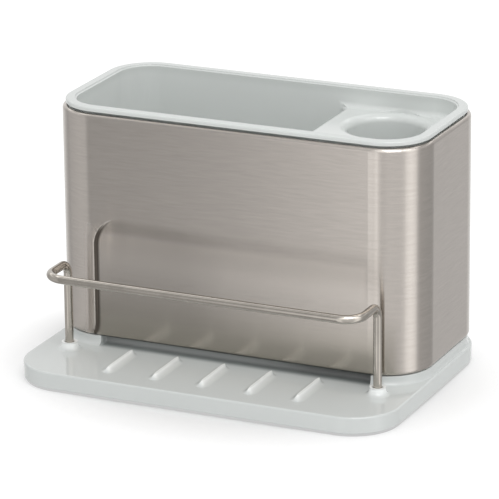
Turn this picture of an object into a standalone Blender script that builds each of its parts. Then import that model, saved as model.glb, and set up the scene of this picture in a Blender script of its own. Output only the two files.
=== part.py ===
"""Sink caddy: a ribbed drip tray, a steel-sleeved body with a moulded liner, and a wire rail for a cloth.

Metres, +Z up, front towards -Y. The origin is on the surface that the caddy stands on, in the middle of its
footprint.
"""

import math

import bmesh
import bpy

# Clearances

SEAT_GAP = 0.0003  # between a piece and what it rests on
SLIDE_GAP = 0.0003  # on each side of a piece that lifts out

# Body: the steel sleeve's outer face

BODY_WIDTH = 0.202
BODY_DEPTH = 0.0948
BODY_CORNER = 0.025
SLEEVE_HEIGHT = 0.1177
SLEEVE_SHEET = 0.0008
SLEEVE_TOP_ROLL = 0.0020
SLEEVE_BOTTOM_ROLL = 0.0018

# Recess pressed into the lower front of the sleeve

RECESS_DEPTH = 0.0016
RECESS_HEIGHT = 0.0648
RECESS_SIDE_FLAT = 0.0002  # flat metal between the body's round corner and the recess
RECESS_SIDE_BLEND = 0.0046
RECESS_TOP_BLEND = 0.0080
RECESS_CORNER = 0.0160

# Tray

APRON_DEPTH = 0.0471  # tray in front of the body
TRAY_SIDE_MARGIN = 0.0015
TRAY_BACK_MARGIN = 0.0011
TRAY_FRONT_CORNER = 0.0250
TRAY_HEIGHT = 0.0087
TRAY_WALL = 0.0025
TRAY_TOP_EDGE = 0.0010
TRAY_BOTTOM_EDGE = 0.0005

# Plinth that the body stands on

PLINTH_HEIGHT = 0.0048
PLINTH_INSET = 0.0008
PLINTH_FOOT_BLEND = 0.0030
PLINTH_SIDE_BLEND = 0.0010
PLINTH_EDGE = 0.0005
COLLAR_HEIGHT = 0.0040
COLLAR_WALL = 0.0020
LEDGE_WIDTH = 0.0026
LEDGE_HEIGHT = 0.0010
SINK_IN = 0.0010  # how far a feature is rooted in the moulding that it grows from

# Draining ribs on the apron

RIB_COUNT = 5
RIB_PITCH = 0.0260
RIB_LENGTH = 0.0280
RIB_SETBACK = 0.0060
RIB_HEIGHT = 0.0021
RIB_HALF_WIDTH = 0.0045
RIB_RIDGE_HALF_WIDTH = 0.0004
RIB_END_SLOPE = 0.0013  # how far each end leans in from its foot to the ridge
RIB_CORNER = 0.0030
RIB_FLANK_HOLLOW = 0.4  # share of the height that the hollow flank reaches at its middle

# Wire rail and its two sockets

WIRE_RADIUS = 0.0022
RAIL_SIDE_INSET = 0.0171  # from the tray's side to a post's axis
POST_CLEARANCE = 0.0099  # from the body's front to a post's axis
BAR_SETBACK = 0.0110  # from the tray's front edge to the bar's axis
BAR_HEIGHT = 0.0464  # above the tray's top
POST_BEND = 0.0065
BAR_BEND = 0.0100
BOSS_HEIGHT = 0.0038
BOSS_TOP_WALL = 0.0014
BOSS_FLARE = 0.0028
BOSS_EDGE = 0.0004
BOSS_MOUTH_FLARE = 0.0006
BOSS_MOUTH_DEPTH = 0.0008
SOCKET_FLOOR = 0.0017

# Rubber feet

FOOT_RADIUS = 0.0065
FOOT_HEIGHT = 0.0012
FOOT_EDGE = 0.0004
FOOT_STEM_RADIUS = 0.0025
FOOT_STEM_LENGTH = 0.0048
FOOT_SIDE_INSET = 0.0215
FOOT_END_INSET = 0.0195
FOOT_BOSS_WALL = 0.0040

# Liner

LINER_WALL = 0.0020
LINER_DRAFT = 0.0010
RIM_INSET = 0.0016
RIM_WIDTH = 0.0056
RIM_HEIGHT = 0.0022
RIM_EDGE = 0.0009
RIM_HOVER = 0.0011  # dark gap between the sleeve's top and the rim
RIM_COLLAR_HEIGHT = 0.0060
SHELF_WIDTH = 0.0662
SHELF_DROP = 0.0110
SHELF_BLEND = 0.0030
DIVIDER_CORNER = 0.0050
DIVIDER_LEAST_CORNER = 0.0010
FLOOR_BLEND = 0.0050
CUP_SIDE_OFFSET = 0.0343  # from the shelf's right wall to the cup's axis
CUP_BACK_OFFSET = 0.0243  # from the shelf's back wall to the cup's axis
CUP_MOUTH_RADIUS = 0.0200
CUP_MOUTH_BLEND = 0.0040
CUP_TAPER = 0.0015
DRAIN_HOLE_RADIUS = 0.0025
DRAIN_HOLE_COLUMNS = 3
DRAIN_HOLE_ROWS = 2
DRAIN_HOLE_PITCH_X = 0.0300
DRAIN_HOLE_PITCH_Y = 0.0300

# Fineness of round shapes

CORNER_STEPS = 10
FILLET_STEPS = 2
ROLL_STEPS = 3
PRESSED_EDGE_STEPS = 4
SOCKET_SIDES = 16
CUP_SIDES = 36
BEND_STEPS = 7
WIRE_STEPS = 4

# Places that follow from the sizes

TRAY_WIDTH = BODY_WIDTH + 2 * TRAY_SIDE_MARGIN
TRAY_DEPTH = APRON_DEPTH + BODY_DEPTH + TRAY_BACK_MARGIN
TRAY_BACK_CORNER = BODY_CORNER + TRAY_SIDE_MARGIN
TRAY_FRONT_Y = -TRAY_DEPTH / 2
TRAY_BACK_Y = TRAY_DEPTH / 2
TRAY_BOTTOM_Z = FOOT_HEIGHT + SEAT_GAP
TRAY_TOP_Z = TRAY_BOTTOM_Z + TRAY_HEIGHT
BODY_FRONT_Y = TRAY_FRONT_Y + APRON_DEPTH
BODY_BACK_Y = BODY_FRONT_Y + BODY_DEPTH
PLINTH_TOP_Z = TRAY_TOP_Z + PLINTH_HEIGHT
SLEEVE_BOTTOM_Z = PLINTH_TOP_Z + SEAT_GAP
SLEEVE_TOP_Z = SLEEVE_BOTTOM_Z + SLEEVE_HEIGHT
RECESS_TOP_Z = SLEEVE_BOTTOM_Z + RECESS_HEIGHT
RECESS_HALF_WIDTH = BODY_WIDTH / 2 - BODY_CORNER - RECESS_SIDE_FLAT
COLLAR_OUTER_INSET = max(SLEEVE_BOTTOM_ROLL, RECESS_DEPTH + SLEEVE_SHEET) + SLIDE_GAP
COLLAR_INNER_INSET = COLLAR_OUTER_INSET + COLLAR_WALL
COLLAR_TOP_Z = PLINTH_TOP_Z + COLLAR_HEIGHT
LEDGE_INSET = COLLAR_INNER_INSET + LEDGE_WIDTH
LEDGE_Z = PLINTH_TOP_Z + LEDGE_HEIGHT
LINER_BOTTOM_Z = LEDGE_Z + SEAT_GAP
LINER_FLOOR_Z = LINER_BOTTOM_Z + LINER_WALL
RIM_BOTTOM_Z = SLEEVE_TOP_Z + RIM_HOVER
RIM_TOP_Z = RIM_BOTTOM_Z + RIM_HEIGHT
CAVITY_INSET = RIM_INSET + RIM_WIDTH
LINER_OUTER_INSET = COLLAR_INNER_INSET + SLIDE_GAP
RIM_COLLAR_INSET = SLEEVE_TOP_ROLL + SLIDE_GAP
CAVITY_HALF_WIDTH = BODY_WIDTH / 2 - CAVITY_INSET
CAVITY_FRONT_Y = BODY_FRONT_Y + CAVITY_INSET
CAVITY_BACK_Y = BODY_BACK_Y - CAVITY_INSET
CAVITY_CORNER = BODY_CORNER - CAVITY_INSET
SHELF_LEFT_X = CAVITY_HALF_WIDTH - SHELF_WIDTH
SHELF_Z = RIM_TOP_Z - SHELF_DROP
CUP_X = CAVITY_HALF_WIDTH - CUP_SIDE_OFFSET
CUP_Y = CAVITY_BACK_Y - CUP_BACK_OFFSET
POST_X = TRAY_WIDTH / 2 - RAIL_SIDE_INSET
POST_Y = BODY_FRONT_Y - POST_CLEARANCE
BAR_Y = TRAY_FRONT_Y + BAR_SETBACK
BAR_Z = TRAY_TOP_Z + BAR_HEIGHT
SOCKET_RADIUS = WIRE_RADIUS + SLIDE_GAP
SOCKET_BOTTOM_Z = TRAY_BOTTOM_Z + SOCKET_FLOOR
BOSS_TOP_Z = TRAY_TOP_Z + BOSS_HEIGHT
BOSS_RADIUS = SOCKET_RADIUS + BOSS_TOP_WALL
FOOT_PLACES = {
    "foot_front_left": (-1, TRAY_FRONT_Y + FOOT_END_INSET),
    "foot_front_right": (1, TRAY_FRONT_Y + FOOT_END_INSET),
    "foot_back_left": (-1, TRAY_BACK_Y - FOOT_END_INSET),
    "foot_back_right": (1, TRAY_BACK_Y - FOOT_END_INSET),
}
FOOT_X = TRAY_WIDTH / 2 - FOOT_SIDE_INSET
OVERCUT = 0.0020  # how far a cutter runs past the face that it opens


def material(name, colour, roughness, metallic=0.0):
    """A Principled material with the colour of the real piece."""
    made = bpy.data.materials.new(name)
    made.use_nodes = True
    shader = made.node_tree.nodes["Principled BSDF"]
    shader.inputs["Base Color"].default_value = (*colour, 1.0)
    shader.inputs["Roughness"].default_value = roughness
    shader.inputs["Metallic"].default_value = metallic
    return made


def add_mesh(name, bm):
    """Turns a bmesh into an object of the scene, with its faces outwards."""
    bmesh.ops.recalc_face_normals(bm, faces=bm.faces)
    mesh = bpy.data.meshes.new(name)
    bm.to_mesh(mesh)
    bm.free()
    made = bpy.data.objects.new(name, mesh)
    bpy.context.scene.collection.objects.link(made)
    return made


def helper(made):
    """Marks a cutter, or a shape that is joined to another, as no piece of its own."""
    made.hide_render = True
    made.display_type = "WIRE"
    return made


def apply_boolean(target, other, operation):
    """Adds a Boolean that cuts the other shape from the target, or joins it on."""
    step = target.modifiers.new(other.name, "BOOLEAN")
    step.operation = operation
    step.solver = "EXACT"
    step.object = helper(other)


def cut(target, *others):
    for other in others:
        apply_boolean(target, other, "DIFFERENCE")


def join(target, *others):
    for other in others:
        apply_boolean(target, other, "UNION")


def finish(made, look, smooth_degrees=35):
    """Dresses a piece and shades its round stretches smooth."""
    made.data.materials.append(look)
    made.data.shade_smooth()
    made.data.set_sharp_from_angle(angle=math.radians(smooth_degrees))
    return made


def loft(name, rings, endless=False):
    """A closed solid through rings of equally many points. An endless one joins its last ring to its first."""
    bm = bmesh.new()
    rows = [[bm.verts.new(point) for point in ring] for ring in rings]
    following = rows[1:] + rows[:1] if endless else rows[1:]
    for lower, upper in zip(rows, following):
        for i in range(len(lower)):
            bm.faces.new((lower[i - 1], lower[i], upper[i], upper[i - 1]))
    if not endless:
        bm.faces.new(rows[0])
        bm.faces.new(rows[-1])
    return add_mesh(name, bm)


def corner_points(x, y, radius, start_degrees):
    """Points of a quarter circle about (x, y), anticlockwise from the start angle."""
    points = []
    for step in range(CORNER_STEPS + 1):
        angle = math.radians(start_degrees + 90 * step / CORNER_STEPS)
        points.append((x + radius * math.cos(angle), y + radius * math.sin(angle)))
    return points


def outline(left, right, front, back, corners, front_xs=()):
    """A rounded rectangle, anticlockwise from its front right corner.

    corners holds the radii at front right, back right, back left and front left. front_xs are more points along
    the front side, from left to right.
    """
    front_right, back_right, back_left, front_left = corners
    points = corner_points(right - front_right, front + front_right, front_right, -90)
    points += corner_points(right - back_right, back - back_right, back_right, 0)
    points += corner_points(left + back_left, back - back_left, back_left, 90)
    points += corner_points(left + front_left, front + front_left, front_left, 180)
    return points + [(x, front) for x in front_xs]


def body_outline(inset, front_xs=()):
    """The body's outline, drawn in by an inset."""
    half = BODY_WIDTH / 2 - inset
    corners = [BODY_CORNER - inset] * 4
    return outline(-half, half, BODY_FRONT_Y + inset, BODY_BACK_Y - inset, corners, front_xs)


def tray_outline(inset):
    """The tray's outline, drawn in by an inset."""
    half = TRAY_WIDTH / 2 - inset
    front = TRAY_FRONT_CORNER - inset
    back = TRAY_BACK_CORNER - inset
    return outline(-half, half, TRAY_FRONT_Y + inset, TRAY_BACK_Y - inset, (front, back, back, front))


def at_height(points, z):
    return [(x, y, z) for x, y in points]


def turned(name, profile, x, y, sides):
    """A solid turned about the vertical axis at (x, y), from (radius, z) pairs."""
    rings = []
    for radius, z in profile:
        ring = []
        for step in range(sides):
            angle = 2 * math.pi * step / sides
            ring.append((x + radius * math.cos(angle), y + radius * math.sin(angle), z))
        rings.append(ring)
    return loft(name, rings)


def fillet(radius, steps=FILLET_STEPS):
    """(out, up) pairs along a hollow quarter round in a corner, from the flat to the wall."""
    pairs = []
    for step in range(steps + 1):
        angle = math.pi / 2 * step / steps
        pairs.append((radius * (1 - math.sin(angle)), radius * (1 - math.cos(angle))))
    return pairs


def rounded_edge(inset, z, radius, steps=FILLET_STEPS):
    """(inset, z) pairs round the edge between a wall at the inset and a flat at height z above it."""
    return [(inset + out, z - down) for out, down in reversed(fillet(radius, steps))]


def ease(share):
    """A smooth step from 0 to 1."""
    share = min(max(share, 0.0), 1.0)
    return share * share * (3 - 2 * share)


def recess_at(x, z):
    """How deep the sleeve's front is pressed in at one point."""
    below_top = RECESS_TOP_Z - z
    if below_top <= 0:
        return 0.0
    corner_left = max(RECESS_CORNER - below_top, 0.0)
    drawn_in = RECESS_CORNER - math.sqrt(RECESS_CORNER**2 - corner_left**2)
    from_side = RECESS_HALF_WIDTH - drawn_in - abs(x)
    return RECESS_DEPTH * ease(from_side / RECESS_SIDE_BLEND) * ease(below_top / RECESS_TOP_BLEND)


def roll_rows(radius, inner_radius, z_centre, start_degrees, end_degrees):
    """(inset, z) pairs round a rolled edge whose centre lies a radius inside the outer face."""
    rows = []
    for step in range(ROLL_STEPS + 1):
        angle = math.radians(start_degrees + (end_degrees - start_degrees) * step / ROLL_STEPS)
        rows.append((radius - inner_radius * math.cos(angle), z_centre + inner_radius * math.sin(angle)))
    return rows


def pressed_edge_places(blend):
    """Distances in from the recess's outline, over its sloped edge and its round corner."""
    steps = PRESSED_EDGE_STEPS
    places = [blend * step / steps for step in range(steps + 1)]
    return places + [blend + RECESS_CORNER * step / steps for step in range(1, steps + 1)]


def recess_columns():
    """The x places, left to right, where the sleeve's front needs points."""
    left = [-RECESS_HALF_WIDTH + place for place in pressed_edge_places(RECESS_SIDE_BLEND)]
    return left + [-x for x in reversed(left)]


def recess_heights():
    """The heights, bottom to top, where the sleeve's front needs points."""
    return [RECESS_TOP_Z - place for place in reversed(pressed_edge_places(RECESS_TOP_BLEND))]


def build_sleeve():
    """The steel sleeve: thin sheet, rolled in at both edges, with the recess in its lower front."""
    low = SLEEVE_BOTTOM_Z + SLEEVE_BOTTOM_ROLL
    high = SLEEVE_TOP_Z - SLEEVE_TOP_ROLL
    outer = roll_rows(SLEEVE_BOTTOM_ROLL, SLEEVE_BOTTOM_ROLL, low, -90, 0)
    outer += [(0.0, z) for z in recess_heights()]
    outer += roll_rows(SLEEVE_TOP_ROLL, SLEEVE_TOP_ROLL, high, 0, 90)
    bottom_inner = SLEEVE_BOTTOM_ROLL - SLEEVE_SHEET
    top_inner = SLEEVE_TOP_ROLL - SLEEVE_SHEET
    inner = roll_rows(SLEEVE_TOP_ROLL, top_inner, high, 90, 0)
    inner += [(SLEEVE_SHEET, z) for z in reversed(recess_heights())]
    inner += roll_rows(SLEEVE_BOTTOM_ROLL, bottom_inner, low, 0, -90)
    columns = recess_columns()
    rings = []
    for side, rows in ((0.0, outer), (SLEEVE_SHEET, inner)):
        for inset, z in rows:
            ring = []
            for x, y in body_outline(inset, columns):
                on_front = y <= BODY_FRONT_Y + inset + 1e-9
                pressed = BODY_FRONT_Y + side + recess_at(x, z) if on_front else y
                ring.append((x, max(y, pressed), z))
            rings.append(ring)
    return loft("steel_sleeve", rings, endless=True)


def plinth_ring():
    """The ring that the body stands on: shoulder for the sleeve, collar inside it and a ledge for the liner."""
    foot_z = TRAY_TOP_Z - SINK_IN
    edge = PLINTH_EDGE
    outside = [(PLINTH_INSET - PLINTH_FOOT_BLEND, foot_z)]
    outside += [(PLINTH_INSET - out, TRAY_TOP_Z + up) for out, up in fillet(PLINTH_FOOT_BLEND, 3)]
    outside += [
        (PLINTH_INSET, PLINTH_TOP_Z - edge),
        (PLINTH_INSET + edge, PLINTH_TOP_Z),
        (COLLAR_OUTER_INSET, PLINTH_TOP_Z),
        (COLLAR_OUTER_INSET, COLLAR_TOP_Z - edge),
        (COLLAR_OUTER_INSET + edge, COLLAR_TOP_Z),
        (COLLAR_INNER_INSET - edge, COLLAR_TOP_Z),
        (COLLAR_INNER_INSET, COLLAR_TOP_Z - edge),
        (COLLAR_INNER_INSET, LEDGE_Z),
        (LEDGE_INSET, LEDGE_Z),
        (LEDGE_INSET, foot_z),
    ]
    rings = []
    for inset, z in outside:
        side_inset = max(inset, PLINTH_INSET - PLINTH_SIDE_BLEND)
        half = BODY_WIDTH / 2 - side_inset
        corners = [BODY_CORNER - side_inset] * 4
        back = BODY_BACK_Y - max(inset, PLINTH_INSET)
        rings.append(at_height(outline(-half, half, BODY_FRONT_Y + inset, back, corners), z))
    ring = loft("plinth_ring", rings, endless=True)
    cut(ring, drain_cutter())
    return ring


def drain_cutter():
    """The wide slot under the front of the body, which lets water out to the apron."""
    front = BODY_FRONT_Y - PLINTH_FOOT_BLEND - OVERCUT
    back = BODY_FRONT_Y + LEDGE_INSET + OVERCUT
    half = RECESS_HALF_WIDTH
    points = [(-half, front), (half, front), (half, back), (-half, back)]
    return loft("drain_slot", [at_height(points, TRAY_TOP_Z - 2 * SINK_IN), at_height(points, PLINTH_TOP_Z)])


def rib(name, x):
    """One draining rib: a ridge with hollow flanks and steep, rounded ends."""
    back = BODY_FRONT_Y - RIB_SETBACK
    front = back - RIB_LENGTH
    reach = RIB_HALF_WIDTH - RIB_RIDGE_HALF_WIDTH
    flank = [(0.0, -SINK_IN), (0.0, 0.0), (reach / 2, RIB_HEIGHT * RIB_FLANK_HOLLOW), (reach, RIB_HEIGHT)]
    rings = []
    for inset, up in flank:
        half = RIB_HALF_WIDTH - inset
        lean = RIB_END_SLOPE * inset / reach
        corners = [min(RIB_CORNER, half)] * 4
        points = outline(x - half, x + half, front + lean, back - lean, corners)
        rings.append(at_height(points, TRAY_TOP_Z + up))
    return loft(name, rings)


def rail_boss(name, x):
    """The boss of one rail post, flared where it meets the tray, down to the tray's underside."""
    profile = [
        (BOSS_RADIUS, TRAY_BOTTOM_Z),
        (BOSS_RADIUS, TRAY_TOP_Z - TRAY_WALL + SINK_IN),
        (BOSS_RADIUS + BOSS_FLARE, TRAY_TOP_Z - SINK_IN),
    ]
    profile += [(BOSS_RADIUS + out, TRAY_TOP_Z + up) for out, up in fillet(BOSS_FLARE, 3)]
    profile += [(BOSS_RADIUS, BOSS_TOP_Z - BOSS_EDGE), (BOSS_RADIUS - BOSS_EDGE, BOSS_TOP_Z)]
    return turned(name, profile, x, POST_Y, SOCKET_SIDES)


def socket_cutter(name, x):
    """The hole of one rail post, opened out at its mouth."""
    mouth = SOCKET_RADIUS + BOSS_MOUTH_FLARE
    profile = [
        (SOCKET_RADIUS, SOCKET_BOTTOM_Z),
        (SOCKET_RADIUS, BOSS_TOP_Z - BOSS_MOUTH_DEPTH),
        (mouth, BOSS_TOP_Z),
        (mouth, BOSS_TOP_Z + OVERCUT),
    ]
    return turned(name, profile, x, POST_Y, SOCKET_SIDES)


def foot_boss(name, x, y):
    """The post under the tray that takes one foot."""
    radius = FOOT_STEM_RADIUS + SLIDE_GAP + FOOT_BOSS_WALL
    profile = [(radius, TRAY_BOTTOM_Z), (radius, TRAY_TOP_Z - TRAY_WALL + SINK_IN)]
    return turned(name, profile, x, y, SOCKET_SIDES)


def foot_hole(name, x, y):
    """The hole that a foot's stem is pushed into."""
    radius = FOOT_STEM_RADIUS + SLIDE_GAP
    top = FOOT_HEIGHT + FOOT_STEM_LENGTH + SEAT_GAP
    return turned(name, [(radius, TRAY_BOTTOM_Z - OVERCUT), (radius, top)], x, y, SOCKET_SIDES)


def build_tray():
    """The tray: a shallow moulding, hollow underneath, with plinth, ribs, rail sockets and foot posts."""
    rows = [(TRAY_BOTTOM_EDGE, TRAY_BOTTOM_Z), (0.0, TRAY_BOTTOM_Z + TRAY_BOTTOM_EDGE)]
    rows += rounded_edge(0.0, TRAY_TOP_Z, TRAY_TOP_EDGE)
    tray = loft("base_tray", [at_height(tray_outline(inset), z) for inset, z in rows])
    under = tray_outline(TRAY_WALL)
    hollow = loft(
        "underside",
        [at_height(under, TRAY_BOTTOM_Z - OVERCUT), at_height(under, TRAY_TOP_Z - TRAY_WALL)],
    )
    cut(tray, hollow)
    join(tray, plinth_ring())
    for index in range(RIB_COUNT):
        join(tray, rib(f"rib_{index + 1}", (index - (RIB_COUNT - 1) / 2) * RIB_PITCH))
    for side, sign in (("left", -1), ("right", 1)):
        join(tray, rail_boss(f"rail_boss_{side}", sign * POST_X))
        cut(tray, socket_cutter(f"rail_socket_{side}", sign * POST_X))
    for name, (sign, y) in FOOT_PLACES.items():
        join(tray, foot_boss(f"{name}_boss", sign * FOOT_X, y))
        cut(tray, foot_hole(f"{name}_hole", sign * FOOT_X, y))
    return tray


def build_foot(name, x, y):
    """One rubber foot: a pad with a stem."""
    profile = [
        (FOOT_RADIUS - FOOT_EDGE, 0.0),
        (FOOT_RADIUS, FOOT_EDGE),
        (FOOT_RADIUS, FOOT_HEIGHT),
        (FOOT_STEM_RADIUS, FOOT_HEIGHT),
        (FOOT_STEM_RADIUS, FOOT_HEIGHT + FOOT_STEM_LENGTH),
    ]
    return turned(name, profile, x, y, SOCKET_SIDES)


def cavity_rings(points_at, floor_z, blend):
    """Rings of a cavity with a rounded foot at its floor and a flared edge at the rim.

    points_at draws the cavity's outline at one inset.
    """
    rows = [(out, floor_z + up) for out, up in fillet(blend)]
    rows += [(-out, RIM_TOP_Z - down) for out, down in reversed(fillet(RIM_EDGE))]
    rows += [(-RIM_EDGE, RIM_TOP_Z + OVERCUT)]
    return [at_height(points_at(inset), z) for inset, z in rows]


def main_cavity():
    """The large compartment."""

    def points_at(inset):
        right = SHELF_LEFT_X - max(inset, 0.0)
        left = -CAVITY_HALF_WIDTH + inset
        radius = CAVITY_CORNER - inset
        divider = max(DIVIDER_CORNER - inset, DIVIDER_LEAST_CORNER)
        corners = (divider, divider, radius, radius)
        return outline(left, right, CAVITY_FRONT_Y + inset, CAVITY_BACK_Y - inset, corners)

    return loft("main_cavity", cavity_rings(points_at, LINER_FLOOR_Z, FLOOR_BLEND))


def shelf_cavity():
    """The space above the shelf, which runs on into the large compartment."""
    overlap = CAVITY_CORNER

    def points_at(inset):
        left = SHELF_LEFT_X - overlap
        right = CAVITY_HALF_WIDTH - inset
        radius = CAVITY_CORNER - inset
        corners = (radius, radius, DIVIDER_LEAST_CORNER, DIVIDER_LEAST_CORNER)
        return outline(left, right, CAVITY_FRONT_Y + inset, CAVITY_BACK_Y - inset, corners)

    return loft("shelf_cavity", cavity_rings(points_at, SHELF_Z, SHELF_BLEND))


def cup_cavity():
    """The round brush cup, rounded into the shelf and slightly tapered."""
    bottom = CUP_MOUTH_RADIUS - CUP_TAPER
    blend = CUP_MOUTH_BLEND
    profile = [(bottom - out, LINER_FLOOR_Z + up) for out, up in fillet(FLOOR_BLEND)]
    profile += [(CUP_MOUTH_RADIUS + out, SHELF_Z - down) for out, down in reversed(fillet(blend, 3))]
    profile += [(CUP_MOUTH_RADIUS + blend, SHELF_Z + SLIDE_GAP)]
    return turned("cup_cavity", profile, CUP_X, CUP_Y, CUP_SIDES)


def under_shelf():
    """The open space under the shelf, round the outside of the cup."""
    left = SHELF_LEFT_X + LINER_WALL
    corners = (CAVITY_CORNER, CAVITY_CORNER, DIVIDER_CORNER, DIVIDER_CORNER)
    points = outline(left, CAVITY_HALF_WIDTH, CAVITY_FRONT_Y, CAVITY_BACK_Y, corners)
    top = SHELF_Z - LINER_WALL
    space = loft("under_shelf", [at_height(points, LINER_BOTTOM_Z - OVERCUT), at_height(points, top)])
    outside = CUP_MOUTH_RADIUS + LINER_WALL
    blend = CUP_MOUTH_BLEND
    profile = [
        (outside - CUP_TAPER, LINER_BOTTOM_Z - 2 * OVERCUT),
        (outside, top - blend),
        (outside + blend, top),
        (outside + blend, top + OVERCUT),
    ]
    cut(space, turned("cup_outside", profile, CUP_X, CUP_Y, CUP_SIDES))
    return space


def drain_holes():
    """Cutters for the holes in the two floors."""
    middle_x = (SHELF_LEFT_X - CAVITY_HALF_WIDTH) / 2
    middle_y = (CAVITY_FRONT_Y + CAVITY_BACK_Y) / 2
    places = [(CUP_X, CUP_Y)]
    for column in range(DRAIN_HOLE_COLUMNS):
        for row in range(DRAIN_HOLE_ROWS):
            x = middle_x + (column - (DRAIN_HOLE_COLUMNS - 1) / 2) * DRAIN_HOLE_PITCH_X
            y = middle_y + (row - (DRAIN_HOLE_ROWS - 1) / 2) * DRAIN_HOLE_PITCH_Y
            places.append((x, y))
    profile = [
        (DRAIN_HOLE_RADIUS, LINER_BOTTOM_Z - OVERCUT),
        (DRAIN_HOLE_RADIUS, LINER_FLOOR_Z + OVERCUT),
    ]
    return [turned(f"drain_{i + 1}", profile, x, y, SOCKET_SIDES) for i, (x, y) in enumerate(places)]


def build_liner():
    """The liner: rim, large compartment, shelf and brush cup in one moulding."""
    collar_foot = RIM_BOTTOM_Z - RIM_COLLAR_HEIGHT
    step = LINER_OUTER_INSET - RIM_COLLAR_INSET
    rows = [
        (LINER_OUTER_INSET + LINER_DRAFT + RIM_EDGE, LINER_BOTTOM_Z),
        (LINER_OUTER_INSET + LINER_DRAFT, LINER_BOTTOM_Z + RIM_EDGE),
        (LINER_OUTER_INSET, collar_foot - step),
        (RIM_COLLAR_INSET, collar_foot),
        (RIM_COLLAR_INSET, RIM_BOTTOM_Z),
        (RIM_INSET, RIM_BOTTOM_Z),
    ]
    rows += rounded_edge(RIM_INSET, RIM_TOP_Z, RIM_EDGE)
    liner = loft("liner", [at_height(body_outline(inset), z) for inset, z in rows])
    cut(liner, main_cavity(), shelf_cavity(), under_shelf(), cup_cavity(), *drain_holes())
    return liner


def bend(corner, towards, away, radius):
    """Points round a bend at a corner of the wire, from one unit direction to the next, both along the wire."""
    points = []
    for step in range(BEND_STEPS + 1):
        angle = math.pi / 2 * step / BEND_STEPS
        along = radius * (1 - math.sin(angle))
        beyond = radius * (1 - math.cos(angle))
        points.append(tuple(c - t * along + a * beyond for c, t, a in zip(corner, towards, away)))
    return points


def build_rail():
    """The wire rail: up out of one socket, forward, across and back down into the other."""
    foot_z = SOCKET_BOTTOM_Z + SEAT_GAP
    up, forward, across = (0, 0, 1), (0, -1, 0), (1, 0, 0)
    back, down = (0, 1, 0), (0, 0, -1)
    reach = POST_Y - BAR_Y
    bar_bend = min(BAR_BEND, reach - POST_BEND - WIRE_RADIUS / 2)
    route = [(-POST_X, POST_Y, foot_z)]
    route += bend((-POST_X, POST_Y, BAR_Z), up, forward, POST_BEND)
    route += bend((-POST_X, BAR_Y, BAR_Z), forward, across, bar_bend)
    route += bend((POST_X, BAR_Y, BAR_Z), across, back, bar_bend)
    route += bend((POST_X, POST_Y, BAR_Z), back, down, POST_BEND)
    route += [(POST_X, POST_Y, foot_z)]
    curve = bpy.data.curves.new("wire_rail", "CURVE")
    curve.dimensions = "3D"
    curve.bevel_depth = WIRE_RADIUS
    curve.bevel_resolution = WIRE_STEPS
    curve.use_fill_caps = True
    spline = curve.splines.new("POLY")
    spline.points.add(len(route) - 1)
    for point, place in zip(spline.points, route):
        point.co = (*place, 1.0)
    rail = bpy.data.objects.new("wire_rail", curve)
    bpy.context.scene.collection.objects.link(rail)
    return rail


def clear_scene():
    """Empties the scene that the script starts in."""
    for old in list(bpy.data.objects):
        bpy.data.objects.remove(old)


def main():
    clear_scene()
    finish(build_tray(), material("pale_plastic", (0.74, 0.78, 0.77), 0.22))
    rubber = material("foot_rubber", (0.45, 0.46, 0.46), 0.75)
    for name, (sign, y) in FOOT_PLACES.items():
        finish(build_foot(name, sign * FOOT_X, y), rubber.copy())
    finish(build_sleeve(), material("brushed_steel", (0.56, 0.53, 0.50), 0.30, 1.0))
    finish(build_liner(), material("liner_plastic", (0.74, 0.78, 0.77), 0.25))
    rail = build_rail()
    rail.data.materials.append(material("steel_wire", (0.62, 0.59, 0.56), 0.18, 1.0))


main()
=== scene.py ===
"""The look of a sink caddy: brushed steel body, moulded liner and tray, satin wire rail and rubber feet.

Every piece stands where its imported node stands, in metres, with +Z up and the front towards -Y.
"""

import logging
import math
from collections.abc import Callable, Sequence
from dataclasses import dataclass
from enum import Enum

import bmesh
import bpy
from mathutils import Matrix, Vector


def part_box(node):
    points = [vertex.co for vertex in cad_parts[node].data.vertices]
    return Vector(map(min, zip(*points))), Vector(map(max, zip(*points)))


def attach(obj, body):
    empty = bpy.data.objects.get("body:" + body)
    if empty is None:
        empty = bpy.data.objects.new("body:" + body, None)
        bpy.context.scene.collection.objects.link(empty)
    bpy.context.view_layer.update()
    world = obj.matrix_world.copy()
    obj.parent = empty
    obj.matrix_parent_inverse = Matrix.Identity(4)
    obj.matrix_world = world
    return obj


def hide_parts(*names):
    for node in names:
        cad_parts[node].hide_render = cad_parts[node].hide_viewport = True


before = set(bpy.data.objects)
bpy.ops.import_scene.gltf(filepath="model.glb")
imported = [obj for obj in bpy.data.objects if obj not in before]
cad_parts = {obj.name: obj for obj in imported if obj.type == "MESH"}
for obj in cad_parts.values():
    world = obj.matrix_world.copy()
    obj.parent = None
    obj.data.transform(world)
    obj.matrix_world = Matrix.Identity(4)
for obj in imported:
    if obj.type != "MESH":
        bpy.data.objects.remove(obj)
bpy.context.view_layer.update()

log = logging.getLogger("sink_caddy")

Colour = tuple[float, float, float]
Place = tuple[float, float, float]
Pair = tuple[float, float]
Reach = tuple[tuple[str, Pair, float], ...]
Socket = bpy.types.NodeSocket
Test = Callable[[bmesh.types.BMVert], bool]

HAIR = 1e-5  # two places closer than this, in metres, are the same place
OVERCUT = 0.0020  # how far a cutter runs past the face that it opens
ROOT = 0.0010  # how deep a feature is rooted in the moulding that it grows from
SOFT, RICH = 2.0, 3.0  # how many finer layers a noise pattern has
PATTERN = (0.22, 0.78)  # the values that most of a noise pattern lies between


class Kind(Enum):
    """What an edit-mode selection is made of."""

    VERTICES = "VERT"
    EDGES = "EDGE"
    FACES = "FACE"


class Side(Enum):
    """Left or right of the caddy, seen from the front."""

    LEFT = -1
    RIGHT = 1


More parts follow.
